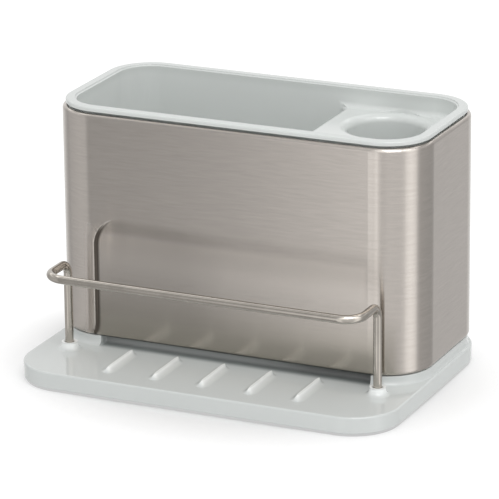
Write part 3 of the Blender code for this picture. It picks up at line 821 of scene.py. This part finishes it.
@dataclass
class DripTray:
    """The drip tray: one pale moulding with a plinth, draining ribs, two rail sockets and a hollow underside."""

    height: float = 0.0087
    wall: float = 0.0025
    front_corner: float = 0.0250
    back_corner: float = 0.0265
    top_edge: float = 0.0010
    bottom_edge: float = 0.0005
    plinth_height: float = 0.0048
    plinth_inset: float = 0.0008
    plinth_edge: float = 0.0005
    plinth_flare: float = 0.0030
    side_flare: float = 0.0010
    body_corner: float = 0.0250
    collar_inset: float = 0.0027
    collar_wall: float = 0.0020
    collar_height: float = 0.0040
    ledge_width: float = 0.0026
    ledge_height: float = 0.0010
    slot_half_width: float = 0.0750
    slot_middle: float = 0.0022
    rib_count: int = 5
    rib_pitch: float = 0.0260
    rib_length: float = 0.0310
    rib_setback: float = 0.0048
    rib_height: float = 0.0022
    rib_half_width: float = 0.0046
    rib_ridge: float = 0.0007
    rib_corner: float = 0.0042
    rib_front_slope: float = 0.0034
    rib_back_slope: float = 0.0006
    rib_nose: float = 1.3
    rib_section: tuple[Pair, ...] = (
        (0.15, 0.01), (0.30, 0.045), (0.45, 0.11), (0.58, 0.20), (0.68, 0.31), (0.76, 0.44), (0.82, 0.58),
        (0.87, 0.72), (0.91, 0.83), (0.95, 0.92), (0.98, 0.98), (1.0, 1.0),
    )
    boss_radius: float = 0.0041
    boss_height: float = 0.0038
    boss_flare: float = 0.0028
    boss_edge: float = 0.0004
    socket_radius: float = 0.0025
    socket_mouth: float = 0.0003
    socket_floor: float = 0.0017
    foot_post_radius: float = 0.0068
    foot_hole_radius: float = 0.0028
    gap: float = 0.0003
    # how far up the ribs the painted highlight starts
    painted_highlight_from: float = 0.05
    corner_steps: int = 24
    rim_steps: int = 5
    edge_steps: int = 3
    flare_steps: int = 6
    boss_flare_steps: int = 7
    rib_corner_steps: int = 10
    round_steps: int = 48
    hole_steps: int = 32
    finish: MouldedPlastic = TRAY_PLASTIC

    def __post_init__(self) -> None:
        """Works out the places that the features share."""
        self.box, self.body, self.rail = (Extent.of(node) for node in ("base_tray", "steel_sleeve", "wire_rail"))
        self.top = self.box.bottom + self.height
        self.plinth_top = self.top + self.plinth_height

    def build(self) -> None:
        """Builds the tray from its plate, with each feature joined on or cut out in turn."""
        tray = self.plate()
        tray.join(self.plinth())
        for index in range(self.rib_count):
            tray.join(self.rib((index - (self.rib_count - 1) / 2) * self.rib_pitch))
        seats = [self.rail_seat(side) for side in Side] + [self.foot_seat(node) for node in RubberFoot.NODES]
        for post, hole in seats:
            tray.join(post)
            tray.cut(hole)
        tray.face_outwards()
        # painted highlights on the ribs and bosses
        self.rub(tray)
        tray.stand_for("base_tray", "base", "pale_plastic", self.finish.mix())

    def rub(self, tray: Workpiece) -> None:
        """Paints highlights on the ribs and the bosses, paler with height and most on their ridges.

        Args:
            tray: The moulding.
        """
        painted_highlight = tray.share_on_points("painted_highlight")
        for vertex in tray.shape.data.vertices:
            up = (vertex.co.z - self.top) / self.rib_height
            if vertex.co.y < self.body.front - self.plinth_flare:
                painted_highlight.data[vertex.index].value = ease((up - self.painted_highlight_from) / (1 - self.painted_highlight_from))

    def plate(self) -> Workpiece:
        """The plate with its rounded rim, hollow underneath.

        Returns:
            The plate.
        """
        bottom, edge = self.box.bottom, self.bottom_edge
        plate = Workpiece.block("drip_tray", self.box.between(bottom + edge, self.top - self.top_edge))
        plate.round_corners(self.front_corner, self.corner_steps, lambda corner: corner.co.y < 0)
        plate.round_corners(self.back_corner, self.corner_steps, lambda corner: corner.co.y > self.body.front)
        plate.climb(rounded_edge(0.0, self.top, self.top_edge, self.rim_steps))
        hollow = rounded_edge(self.wall, self.top - self.wall, self.top_edge, self.edge_steps)
        plate.climb([(0.0, bottom + edge), (edge, bottom), (self.wall, bottom), *hollow])
        return plate

    def plinth(self) -> Workpiece:
        """The plinth under the body: flared foot, shoulder for the sleeve, collar and the liner's ledge.

        Returns:
            The plinth.
        """
        foot, edge = self.top - ROOT, self.plinth_edge
        outset = self.plinth_inset - self.plinth_flare
        outline = self.body.inset(outset).between(foot - ROOT, self.top)
        ring = Workpiece.block("plinth", outline, self.body_corner - outset, self.corner_steps)
        collar_top = self.plinth_top + self.collar_height
        collar_back = self.collar_inset + self.collar_wall
        ledge, well = self.plinth_top + self.ledge_height, collar_back + self.ledge_width
        flare = quarter_round(self.plinth_flare, self.flare_steps)
        rows = [(self.plinth_inset - out, self.top + up) for out, up in flare]
        rows += rounded_edge(self.plinth_inset, self.plinth_top, edge, self.edge_steps)
        rows += [(self.collar_inset, self.plinth_top)]
        rows += rounded_edge(self.collar_inset, collar_top, edge, self.edge_steps)
        rows += [(collar_back - edge, collar_top), (collar_back, collar_top - edge), (collar_back, ledge)]
        ring.climb(rows + [(well, ledge), (well, foot)])
        ring.move_points(self.draw_in_flare)
        left, right = self.slot_middle - self.slot_half_width, self.slot_middle + self.slot_half_width
        front = self.body.front - self.plinth_flare - OVERCUT
        back = self.body.front + well + OVERCUT
        ring.cut(Workpiece.block("drain_slot", Extent(left, right, front, back, foot - 2 * ROOT, self.plinth_top)))
        return ring

    def draw_in_flare(self, place: Vector) -> Vector:
        """Narrows the plinth's flared foot from its full width in front to a little at the sides and the back.

        Args:
            place: A point of the plinth.

        Returns:
            Its new place.
        """
        core = self.body.inset(self.body_corner)
        middle = Vector((min(max(place.x, core.left), core.right), min(max(place.y, core.front), core.back), place.z))
        out = place - middle
        reach = self.body_corner - self.plinth_inset
        beyond = out.length - reach
        if beyond < HAIR:
            return place
        forward = max(-out.y / out.length, 0.0)
        share = (self.side_flare + (self.plinth_flare - self.side_flare) * forward**2) / self.plinth_flare
        return middle + out * ((reach + beyond * share) / out.length)

    def rib(self, x: float) -> Workpiece:
        """One draining rib with hollow flanks, a round ridge and steep ends.

        Args:
            x: Where its ridge runs.

        Returns:
            The rib.
        """
        back = self.body.front - self.rib_setback
        half, length = self.rib_half_width, self.rib_length
        extent = Extent(x - half, x + half, back - length, back, self.top - ROOT, self.top)
        rib = Workpiece.block("rib", extent, self.rib_corner, self.rib_corner_steps)
        slopes = self.rib_front_slope + self.rib_back_slope
        centre = (x, back - length * self.rib_back_slope / slopes, self.top)
        rib.pick_flat(self.top)
        across, along, height = 1.0, 1.0, 0.0
        for share, up in self.rib_section:
            next_across = 1 - (1 - self.rib_ridge / half) * share
            next_along = 1 - slopes / length * up**self.rib_nose
            rib.extrude((0, 0, (up - height) * self.rib_height))
            bpy.ops.transform.resize(value=(next_across / across, next_along / along, 1), center_override=centre)
            across, along, height = next_across, next_along, up
        rib.end()
        return rib

    def rail_seat(self, side: Side) -> tuple[Workpiece, Workpiece]:
        """The boss of one rail post, flared into the tray, and the hole in it, rounded at its mouth.

        Args:
            side: Which post.

        Returns:
            The boss, and the cutter for its hole.
        """
        wire = self.socket_radius - self.gap
        centre = side.value * (self.rail.right - wire), self.rail.back - wire
        radius, flare, edge = self.boss_radius, self.boss_flare, self.boss_edge
        root, boss_top = self.top - ROOT, self.top + self.boss_height
        profile = [(radius, self.box.bottom), (radius, root), (radius + flare, root)]
        profile += [(radius + out, self.top - HAIR + up) for out, up in quarter_round(flare, self.boss_flare_steps)]
        neck = reversed(quarter_round(edge, self.edge_steps))
        profile += [(radius - out, boss_top - edge + up) for up, out in neck]
        boss = Workpiece.turned("boss", profile, centre, self.round_steps)
        radius, mouth = self.socket_radius, self.socket_mouth
        profile = [(radius, self.box.bottom + self.socket_floor)]
        profile += rounded_edge(radius, boss_top, mouth, self.edge_steps)
        profile += [(radius + mouth, boss_top + OVERCUT)]
        return boss, Workpiece.turned("socket", profile, centre, self.round_steps)

    def foot_seat(self, node: str) -> tuple[Workpiece, Workpiece]:
        """The post under the tray that takes one foot, and the hole that the foot's stem is pushed into.

        Args:
            node: The foot's node.

        Returns:
            The post, and the cutter for its hole.
        """
        foot, bottom, edge, radius = Extent.of(node), self.box.bottom, self.bottom_edge, self.foot_post_radius
        profile = [(radius - edge, bottom), (radius, bottom + edge), (radius, self.top - self.wall + ROOT)]
        post = Workpiece.turned("foot_post", profile, foot.middle, self.round_steps)
        profile = [(self.foot_hole_radius, bottom - OVERCUT), (self.foot_hole_radius, foot.top + self.gap)]
        return post, Workpiece.turned("foot_hole", profile, foot.middle, self.hole_steps)


@dataclass
class Liner:
    """The liner: rim, large compartment, shelf and round brush cup in one pale moulding."""

    wall: float = 0.0020
    draft: float = 0.0010
    body_corner: float = 0.0250
    rim_inset: float = 0.0016
    rim_width: float = 0.0056
    rim_height: float = 0.0022
    rim_edge: float = 0.0009
    rim_lower_edge: float = 0.0002
    groove_height: float = 0.0030
    collar_inset: float = 0.0023
    collar_height: float = 0.0060
    wall_inset: float = 0.0050
    shelf_width: float = 0.0662
    shelf_drop: float = 0.0110
    shelf_blend: float = 0.0030
    divider_corner: float = 0.0050
    divider_edge: float = 0.0020
    floor_blend: float = 0.0050
    cup_side_offset: float = 0.0343
    cup_back_offset: float = 0.0243
    cup_radius: float = 0.0200
    cup_blend: float = 0.0042
    cup_taper: float = 0.0015
    hole_radius: float = 0.0025
    hole_pitch: float = 0.0300
    corner_steps: int = 24
    divider_steps: int = 8
    blend_steps: int = 6
    lip_steps: int = 5
    lower_edge_steps: int = 2
    cup_blend_steps: int = 8
    cup_steps: int = 72
    hole_steps: int = 32
    finish: MouldedPlastic = LINER_PLASTIC

    def __post_init__(self) -> None:
        """Works out the places that the cavities share."""
        self.box = Extent.of("liner")
        self.body = self.box.inset(-self.rim_inset)
        self.cavity = self.body.inset(self.rim_inset + self.rim_width)
        self.cavity_corner = self.body_corner - self.rim_inset - self.rim_width
        self.floor = self.box.bottom + self.wall
        self.shelf_left = self.cavity.right - self.shelf_width
        self.shelf = self.box.top - self.shelf_drop
        self.cup = (self.cavity.right - self.cup_side_offset, self.cavity.back - self.cup_back_offset)

    def build(self) -> None:
        """Builds the liner as a solid, and cuts its spaces out of it."""
        liner = self.outside()
        liner.cut(self.mouth(), self.large_compartment(), self.under_shelf(), self.brush_cup(), *self.drain_holes())
        liner.face_outwards()
        liner.stand_for("liner", "liner", "liner_plastic", self.finish.mix())

    def outside(self) -> Workpiece:
        """The liner's outside as a solid: rim with a sharp lower edge, groove, collar and drafted walls.

        Returns:
            The solid.
        """
        box, edge = self.box, self.rim_edge
        rim_bottom = box.top - self.rim_height
        rim = box.between(rim_bottom + self.rim_lower_edge, box.top - edge)
        outside = Workpiece.block("moulded_liner", rim, self.body_corner - self.rim_inset, self.corner_steps)
        outside.climb(rounded_edge(0.0, box.top, edge, self.blend_steps))
        inset = self.wall_inset - self.rim_inset
        foot = inset + self.draft
        rows = rounded_edge(0.0, rim_bottom, self.rim_lower_edge, self.lower_edge_steps, -1)
        outside.climb(rows + [(inset, rim_bottom), (foot, box.bottom + edge), (foot + edge, box.bottom)])
        outside.join(self.collar(rim_bottom - self.groove_height, rim_bottom - self.collar_height))
        return outside

    def collar(self, top: float, bottom: float) -> Workpiece:
        """The collar that locates the liner inside the sleeve.

        Args:
            top: The height of its upper edge.
            bottom: Where it meets the wall again.

        Returns:
            The collar.
        """
        step = self.wall_inset - self.collar_inset
        extent = self.body.inset(self.collar_inset).between(bottom, top)
        collar = Workpiece.block("collar", extent, self.body_corner - self.collar_inset, self.corner_steps)
        collar.climb([(0.0, top), (step + ROOT, top + step / 2)])
        collar.climb([(0.0, bottom), (step + ROOT, bottom - step - ROOT)])
        return collar

    def mouth(self) -> Workpiece:
        """The space inside the rim, from its rounded inner edge down to the shelf.

        Returns:
            The cutter.
        """
        top, edge = self.box.top, self.rim_edge
        extent = self.cavity.inset(-edge).between(top, top + OVERCUT)
        mouth = Workpiece.block("mouth", extent, self.cavity_corner + edge, self.corner_steps)
        rows = rounded_edge(0.0, top - edge, edge, self.lip_steps, -1)
        mouth.climb(rows + rounded_edge(edge, self.shelf, self.shelf_blend, self.blend_steps, -1))
        return mouth

    def large_compartment(self) -> Workpiece:
        """The large compartment, with a round floor and a wall that rounds over into the shelf.

        Returns:
            The cutter.
        """
        cavity, blend = self.cavity, self.floor_blend - 2 * HAIR
        bottom, top = self.floor + blend, self.shelf + self.shelf_blend + ROOT
        extent = Extent(cavity.left, self.shelf_left, cavity.front, cavity.back, bottom, top)
        pocket = Workpiece.block("large_compartment", extent)
        middle = extent.middle[0]
        pocket.round_corners(self.cavity_corner, self.corner_steps, lambda corner: corner.co.x < middle)
        pocket.round_corners(self.divider_corner, self.corner_steps, lambda corner: corner.co.x > middle)
        pocket.climb(rounded_edge(0.0, self.floor, blend, self.blend_steps, -1))
        rows = [self.shelf - up for _, up in quarter_round(self.divider_edge, self.blend_steps)]
        pocket.slice(rows, (0.0, 0.0, 1.0))
        pocket.move_points(self.round_over)
        return pocket

    def round_over(self, place: Vector) -> Vector:
        """Carries the top of the large compartment's right wall out, so that it rounds over into the shelf.

        Args:
            place: A point of the cutter.

        Returns:
            Its new place.
        """
        radius, start = self.divider_edge, self.shelf_left - self.divider_corner
        rise = min(place.z - self.shelf + radius, radius)
        if rise < 0 or place.x < start:
            return place
        out = radius - math.sqrt(radius**2 - rise**2)
        return Vector((place.x + out * (place.x - start) / self.divider_corner, place.y, place.z))

    def brush_cup(self) -> Workpiece:
        """The round cup, rounded into the shelf and slightly tapered.

        Returns:
            The cutter.
        """
        bottom = self.cup_radius - self.cup_taper
        profile = [(bottom - out, self.floor + up) for out, up in quarter_round(self.floor_blend, self.blend_steps)]
        profile += rounded_edge(self.cup_radius, self.shelf, self.cup_blend, self.cup_blend_steps)
        profile += [(self.cup_radius + self.cup_blend, self.shelf + self.shelf_blend)]
        return Workpiece.turned("brush_cup", profile, self.cup, self.cup_steps)

    def under_shelf(self) -> Workpiece:
        """The open space under the shelf, round the outside of the cup.

        Returns:
            The cutter.
        """
        cavity, blend, middle = self.cavity, self.cup_blend, self.cup[0]
        left, bottom, top = self.shelf_left + self.wall, self.box.bottom - OVERCUT, self.shelf - self.wall
        space = Workpiece.block("under_shelf", Extent(left, cavity.right, cavity.front, cavity.back, bottom, top))
        space.round_corners(self.divider_corner, self.divider_steps, lambda corner: corner.co.x < middle)
        space.round_corners(self.cavity_corner, self.corner_steps, lambda corner: corner.co.x > middle)
        outside = self.cup_radius + self.wall
        profile = [(outside - self.cup_taper, bottom - OVERCUT), (outside, top - blend)]
        profile += [(outside + blend, top), (outside + blend, top + OVERCUT)]
        space.cut(Workpiece.turned("cup_outside", profile, self.cup, self.cup_steps))
        return space

    def drain_holes(self) -> list[Workpiece]:
        """The holes in the two floors.

        Returns:
            A cutter for each.
        """
        x, y, pitch = (self.cavity.left + self.shelf_left) / 2, self.cavity.middle[1], self.hole_pitch
        places = [(x + column * pitch, y + row * pitch / 2) for column in (-1, 0, 1) for row in (-1, 1)]
        profile = [(self.hole_radius, z) for z in (self.box.bottom - OVERCUT, self.floor + OVERCUT)]
        return [Workpiece.turned("drain_hole", profile, place, self.hole_steps) for place in [self.cup, *places]]


@dataclass
class WireRail:
    """The rail: one satin wire, up out of a socket, forward, across and back down into the other."""

    radius: float = 0.0022
    post_bend: float = 0.0065
    bar_bend: float = 0.0100
    sides: int = 32
    bend_steps: int = 16
    finish: Finish = SATIN_WIRE

    def build(self) -> None:
        """Builds the rail by drawing one round face along the wire's route."""
        box, radius = Extent.of("wire_rail"), self.radius
        post_x, post_y = box.right - radius, box.back - radius
        bar_y, bar_z = box.front + radius, box.top - radius
        post = bar_z - self.post_bend - box.bottom
        reach = post_y - bar_y - self.post_bend - self.bar_bend
        across = post_x - self.bar_bend
        start = (-post_x, post_y, box.bottom)
        bpy.ops.mesh.primitive_circle_add(vertices=self.sides, radius=radius, fill_type="NGON", location=start)
        wire = Workpiece("wire_rail_bent")
        wire.begin(Kind.FACES)
        bpy.ops.mesh.select_all(action="SELECT")
        wire.extrude((0, 0, post))
        self.turn((-post_x, post_y - self.post_bend, bar_z - self.post_bend), (1, 0, 0), -1)
        wire.extrude((0, -reach, 0))
        self.turn((-across, bar_y + self.bar_bend, bar_z), (0, 0, 1), -1)
        wire.extrude((2 * across, 0, 0))
        self.turn((across, bar_y + self.bar_bend, bar_z), (0, 0, 1), -1)
        wire.extrude((0, reach, 0))
        self.turn((post_x, post_y - self.post_bend, bar_z - self.post_bend), (1, 0, 0), 1)
        wire.extrude((0, 0, -post))
        wire.end()
        wire.face_outwards()
        wire.stand_for("wire_rail", "rail", "steel_wire", self.finish.mix())

    def turn(self, centre: Place, axis: Place, way: int) -> None:
        """Bends the selected end by a right angle round an axis, one way or, with -1, the other."""
        bpy.ops.mesh.spin(steps=self.bend_steps, angle=way * math.pi / 2, center=centre, axis=axis)


@dataclass
class RubberFoot:
    """One push-in rubber foot under the tray."""

    NODES = ("foot_front_left", "foot_front_right", "foot_back_left", "foot_back_right")

    node: str
    finish: bpy.types.Material
    pad_height: float = 0.0012
    edge: float = 0.0004
    edge_share: float = 0.3
    stem_radius: float = 0.0025
    steps: int = 40

    def build(self) -> None:
        """Builds the foot: a round pad with a stem."""
        box, edge, stem = Extent.of(self.node), self.edge, self.stem_radius
        pad, first = (box.right - box.left) / 2, edge * self.edge_share
        profile = [(pad - edge, 0.0), (pad - first, first), (pad, edge), (pad, self.pad_height)]
        profile += [(stem, self.pad_height), (stem, box.top - edge), (stem - edge, box.top)]
        foot = Workpiece.turned(self.node.replace("foot", "rubber_foot"), profile, box.middle, self.steps)
        foot.stand_for(self.node, "base", "foot_rubber", self.finish)


@dataclass(frozen=True)
class Viewpoint:
    """The photograph's camera, found from the object's outlines."""

    azimuth: float = 24.672
    elevation: float = 18.411
    roll: float = -0.565
    distance: float = 1.88226
    target: Place = (0.000729, 0.0, 0.063937)
    focal_pixels: float = 3714.73
    image_side: int = 499
    sensor: float = 36.0
    clip_end: float = 20.0

    def build(self) -> None:
        """Builds the camera and makes it the scene's own."""
        a, e, r = (math.radians(angle) for angle in (self.azimuth, self.elevation, self.roll))
        back = Vector((math.sin(a) * math.cos(e), -math.cos(a) * math.cos(e), math.sin(e)))
        level = Vector((math.cos(a), math.sin(a), 0.0))
        upright = back.cross(level)
        right = math.cos(r) * level + math.sin(r) * upright
        up = math.cos(r) * upright - math.sin(r) * level
        lens = bpy.data.cameras.new("viewpoint")
        lens.sensor_width = self.sensor
        lens.lens = self.sensor * self.focal_pixels / self.image_side
        lens.clip_end = self.clip_end
        camera = bpy.data.objects.new("viewpoint", lens)
        bpy.context.scene.collection.objects.link(camera)
        place = Matrix((right, up, back)).transposed().to_4x4()
        place.translation = Vector(self.target) + back * self.distance
        camera.matrix_world = place
        bpy.context.scene.camera = camera


@dataclass(frozen=True)
class Studio:
    """A pale floor and a soft, light room with a few softer and darker walls for the steel to reflect.

    The walls are (degrees from the front, lightness) pairs, and the lights by height (height, lightness) pairs.
    """

    floor_side: float = 12.0
    floor_colour: Colour = (0.87, 0.87, 0.87)
    floor_glow: float = 1.12
    floor_squeeze: Place = (0.82, 1.0, 0.0)
    floor_fade: Pair = (0.080, 0.126)
    # painted light: a glowing sheet under the tray's edge, and its size
    gap_glow: float = 0.56
    gap_inset: float = 0.0012
    gap_corner: float = 0.0240
    gap_sheet: float = 0.0002
    gap_corner_steps: int = 16
    room_light: float = 0.80
    key_size: float = 0.7
    key_power: float = 6.6
    key_place: Place = (0.60, -0.68, 1.25)
    low_walls: tuple[Pair, ...] = (
        (-135.0, 1.0), (-114.0, 0.70), (-101.0, 0.52), (-92.0, 0.65), (-60.0, 0.76), (-40.0, 0.76), (-36.0, 0.60),
        (-29.0, 0.47), (-26.2, 0.50), (-25.2, 0.475), (-24.9, 0.485), (-24.45, 0.535), (-24.0, 0.73),
        (-23.6, 1.0), (-22.6, 1.32), (-9.0, 1.16), (-3.0, 1.38), (3.0, 1.0), (10.0, 0.82), (52.0, 0.86),
        (61.0, 0.95), (67.0, 1.25), (78.0, 1.45), (90.0, 1.28), (98.0, 0.72), (105.0, 0.59), (130.0, 0.53),
        (147.0, 0.49), (153.0, 0.55), (158.0, 0.75), (170.0, 0.80), (180.0, 1.0),
    )
    high_walls: tuple[Pair, ...] = (
        (-180.0, 1.0), (-110.0, 0.85), (-60.0, 0.55), (-32.0, 0.40), (-25.0, 0.42), (-20.0, 0.60), (-5.0, 1.2),
        (10.0, 1.4), (28.0, 1.4), (45.0, 1.0), (65.0, 1.5), (80.0, 1.8), (92.0, 1.5), (105.0, 0.6), (150.0, 0.60),
        (180.0, 1.0),
    )
    horizon: Pair = (-0.05, 0.65)
    lights_by_height: tuple[Pair, ...] = (
        (-1.0, 0.6), (-0.85, 0.75), (-0.5, 1.0), (0.45, 1.0), (0.48, 1.9), (0.55, 1.9), (0.59, 1.0),
        (0.76, 1.0), (0.80, 2.8), (0.83, 2.8), (0.88, 1.1), (1.0, 1.25),
    )

    def build(self) -> None:
        """Builds the floor, the room and the lamp."""
        self.lay_floor()
        self.paint_light_in_gap()
        self.light_room()
        self.hang_lamp()

    def lay_floor(self) -> None:
        """Lays a pale floor that keeps the object's shadow and reads white where nothing shades it."""
        bpy.ops.mesh.primitive_plane_add(size=self.floor_side, location=(0, 0, 0))
        floor = bpy.context.active_object
        floor.name = "floor"
        brush = Brush("floor")
        plain = brush.add("BsdfDiffuse", {"Color": (*self.floor_colour, 1.0)}).outputs["BSDF"]
        white = brush.add("Emission", {"Strength": self.floor_glow}).outputs["Emission"]
        clear = brush.add("BsdfTransparent").outputs["BSDF"]
        path = brush.add("LightPath").outputs
        squeezed = brush.add("VectorMath", {0: brush.place, 1: self.floor_squeeze}, operation="MULTIPLY")
        reach = brush.add("VectorMath", {0: squeezed.outputs["Vector"]}, operation="LENGTH").outputs["Value"]
        far = brush.maths("MULTIPLY", path["Is Camera Ray"], brush.span(reach, self.floor_fade))
        pale = brush.add("MixShader", {"Fac": far, 1: plain, 2: white}).outputs["Shader"]
        mix = brush.add("MixShader", {"Fac": path["Is Glossy Ray"], 1: pale, 2: clear}).outputs["Shader"]
        brush.tree.nodes.remove(brush.shader)
        brush.feed(brush.tree.nodes["Material Output"], {"Surface": mix})
        floor.data.materials.append(brush.look)

    def paint_light_in_gap(self) -> None:
        """Lays a thin sheet under the tray that glows as painted light, so that the shadowed gap at its edge reads
        light.
        """
        extent = Extent.of("base_tray").inset(self.gap_inset).between(0.0, self.gap_sheet)
        sheet = Workpiece.block("pale_sheet", extent, self.gap_corner, self.gap_corner_steps)
        brush = Brush("pale_sheet")
        brush.feed(brush.shader, {
            "Base Color": (0.0, 0.0, 0.0, 1.0),
            "Specular IOR Level": 0.0,
            "Emission Color": (1.0, 1.0, 1.0, 1.0),
            "Emission Strength": self.gap_glow,
        })
        sheet.shape.data.materials.append(brush.look)

    def light_room(self) -> None:
        """Lights the room evenly, with walls of different lightness round the object for its reflections alone."""
        world = bpy.data.worlds.new("room")
        bpy.context.scene.world = world
        world.use_nodes = True
        room = Wiring(world.node_tree)
        parts = room.add("SeparateXYZ", {"Vector": room.add("TexCoord").outputs["Generated"]}).outputs
        bearing = room.maths("ARCTAN2", parts["X"], room.maths("MULTIPLY", parts["Y"], -1.0))
        around, upward = room.span(bearing, (-math.pi, math.pi)), room.span(parts["Z"], (-1.0, 1.0))
        height = room.span(parts["Z"], self.horizon, shape="SMOOTHSTEP")
        low, high = (
            self.ring(room, around, [(turn / 180.0, light) for turn, light in walls])
            for walls in (self.low_walls, self.high_walls)
        )
        lit = room.maths("MULTIPLY", room.mix(height, low, high), self.ring(room, upward, self.lights_by_height))
        path = room.add("LightPath").outputs
        reflected = room.mix(path["Is Glossy Ray"], self.room_light, lit)
        seen = room.mix(path["Is Camera Ray"], reflected, 1.0)
        room.feed(room.tree.nodes["Background"], {"Color": (1.0, 1.0, 1.0, 1.0), "Strength": seen})

    def ring(self, room: Wiring, share: Socket, walls: Sequence[Pair]) -> Socket:
        """One ring of lightness round the object, or over it.

        Args:
            room: The room's nodes.
            share: The place on the ring, from 0 to 1.
            walls: (place from -1 to 1, lightness) pairs.

        Returns:
            The lightness at that place.
        """
        ramp = room.add("ValToRGB", {"Fac": share})
        stops = ramp.color_ramp.elements
        stops.remove(stops[-1])  # a new ramp has two
        brightest = max(light for _, light in walls)
        for index, (turn, light) in enumerate(walls):
            place = (turn + 1) / 2
            stop = stops.new(place) if index else stops[0]
            stop.position = place
            stop.color = (light / brightest,) * 3 + (1.0,)
        return room.maths("MULTIPLY", ramp.outputs["Color"], brightest)

    def hang_lamp(self) -> None:
        """Hangs one large soft lamp above and in front."""
        lamp = bpy.data.lights.new("soft_box", "AREA")
        lamp.shape = "SQUARE"
        lamp.size = self.key_size
        lamp.energy = self.key_power
        hung = bpy.data.objects.new("soft_box", lamp)
        bpy.context.scene.collection.objects.link(hung)
        hung.location = self.key_place
        hung.rotation_euler = Vector(self.key_place).to_track_quat("Z", "Y").to_euler()


def main() -> None:
    """Builds the viewpoint, the studio and every piece in order."""
    logging.basicConfig(level=logging.INFO, format="%(name)s: %(message)s")
    bpy.context.scene.view_settings.view_transform = "Standard"
    Viewpoint().build()
    Studio().build()
    for piece in (SteelSleeve(), DripTray(), Liner(), WireRail()):
        piece.build()
    rubber = FOOT_RUBBER.mix()
    for node in RubberFoot.NODES:
        RubberFoot(node, rubber).build()


if __name__ == "__main__":
    main()
